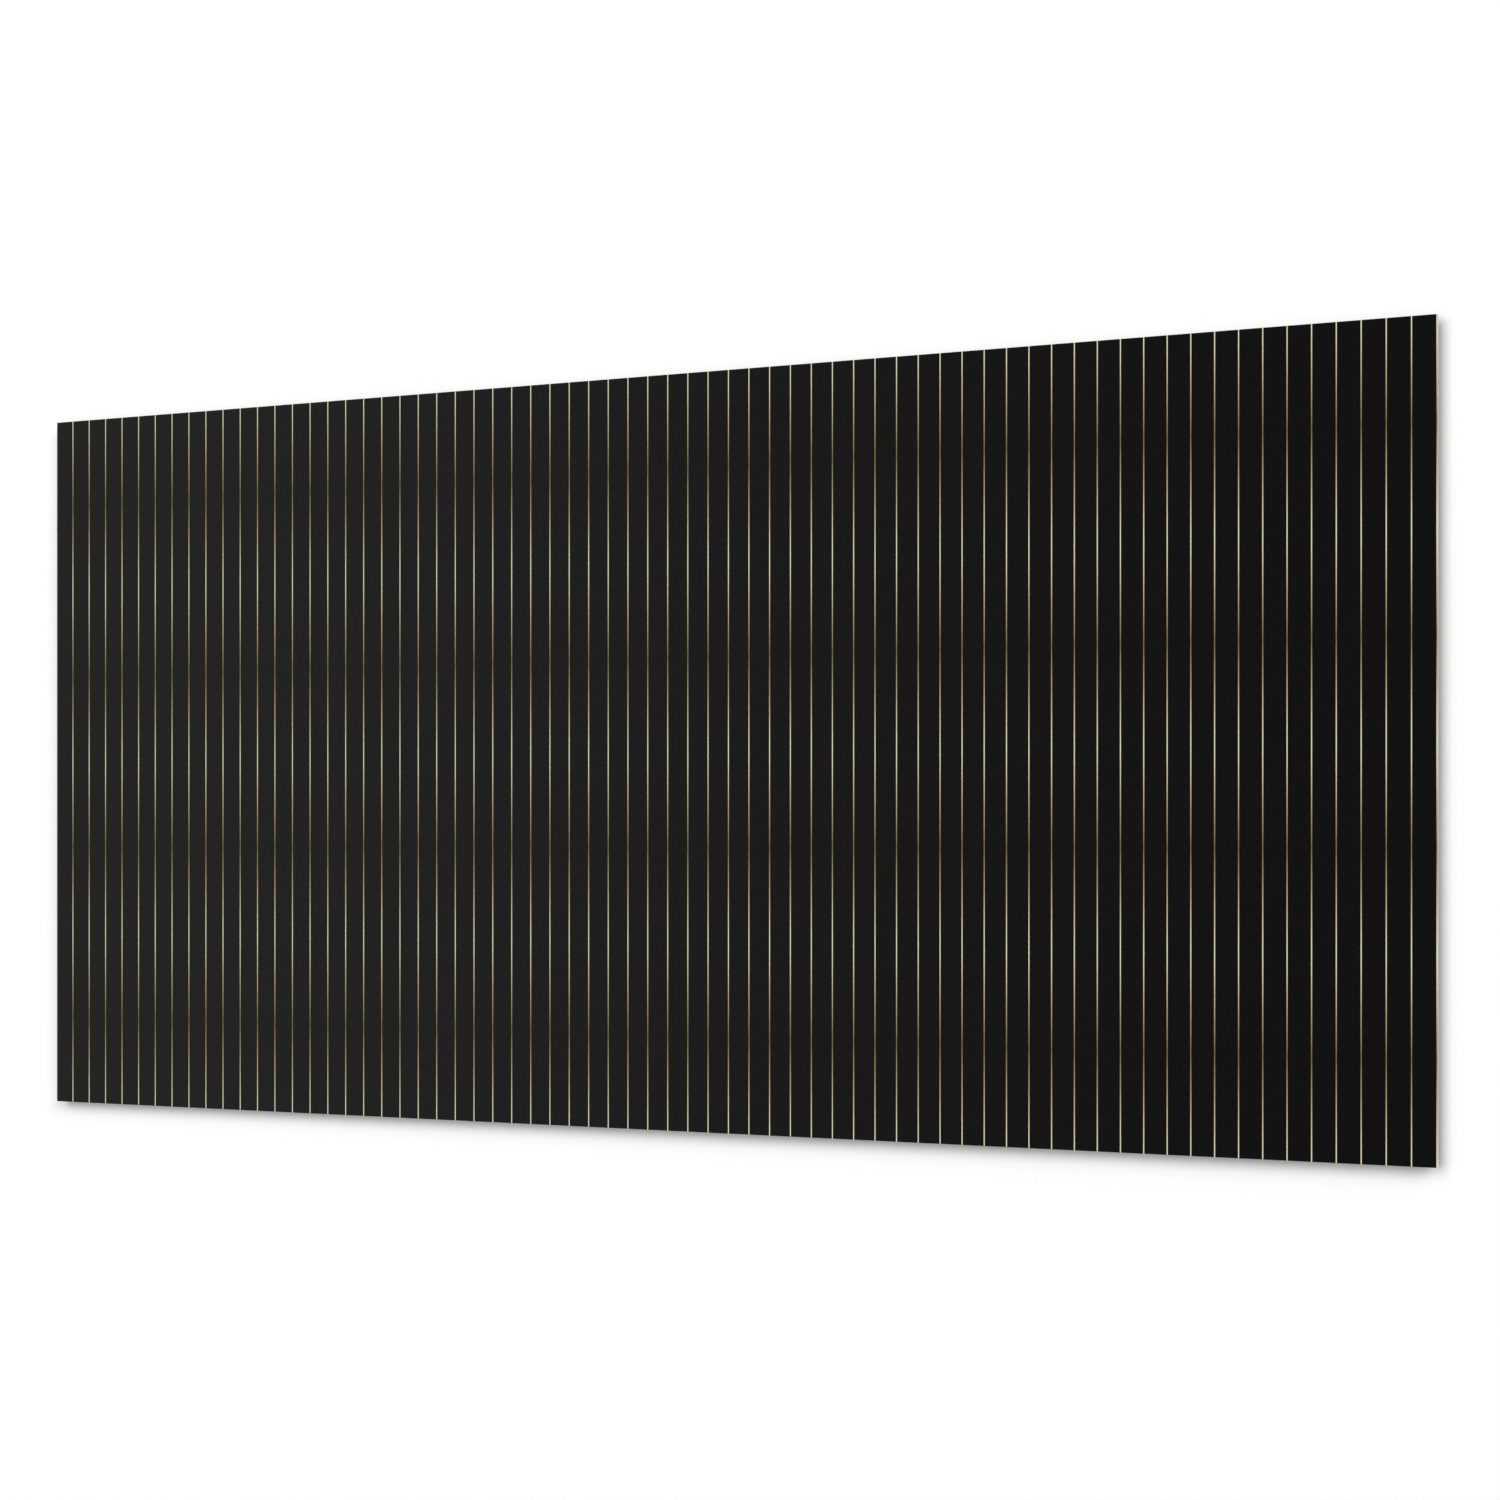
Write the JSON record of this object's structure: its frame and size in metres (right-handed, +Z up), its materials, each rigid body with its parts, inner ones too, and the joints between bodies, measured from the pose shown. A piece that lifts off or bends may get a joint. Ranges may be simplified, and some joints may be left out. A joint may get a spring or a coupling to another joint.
{
  "type": "self-adhesive vinyl wall panel",
  "caption": "Flat rectangular vinyl wall panel with a black face parted into narrow upright bands by thin gold lines, pale edges and a flat self-adhesive back.",
  "frame": {"origin": "middle of the back face, which sticks to the wall", "axes": "+X along the width to the right as seen from the front, +Z up, and the printed face looks along -Y"},
  "size_m": [1.2, 0.003, 0.6],
  "materials": {
    "white_vinyl": "satin",
    "black_print": "satin",
    "gold_print": "satin"
  },
  "bodies": {
    "root": {"vinyl_sheet": "white_vinyl", "black_bands": "black_print", "gold_lines": "gold_print"}
  },
  "joints": []
}
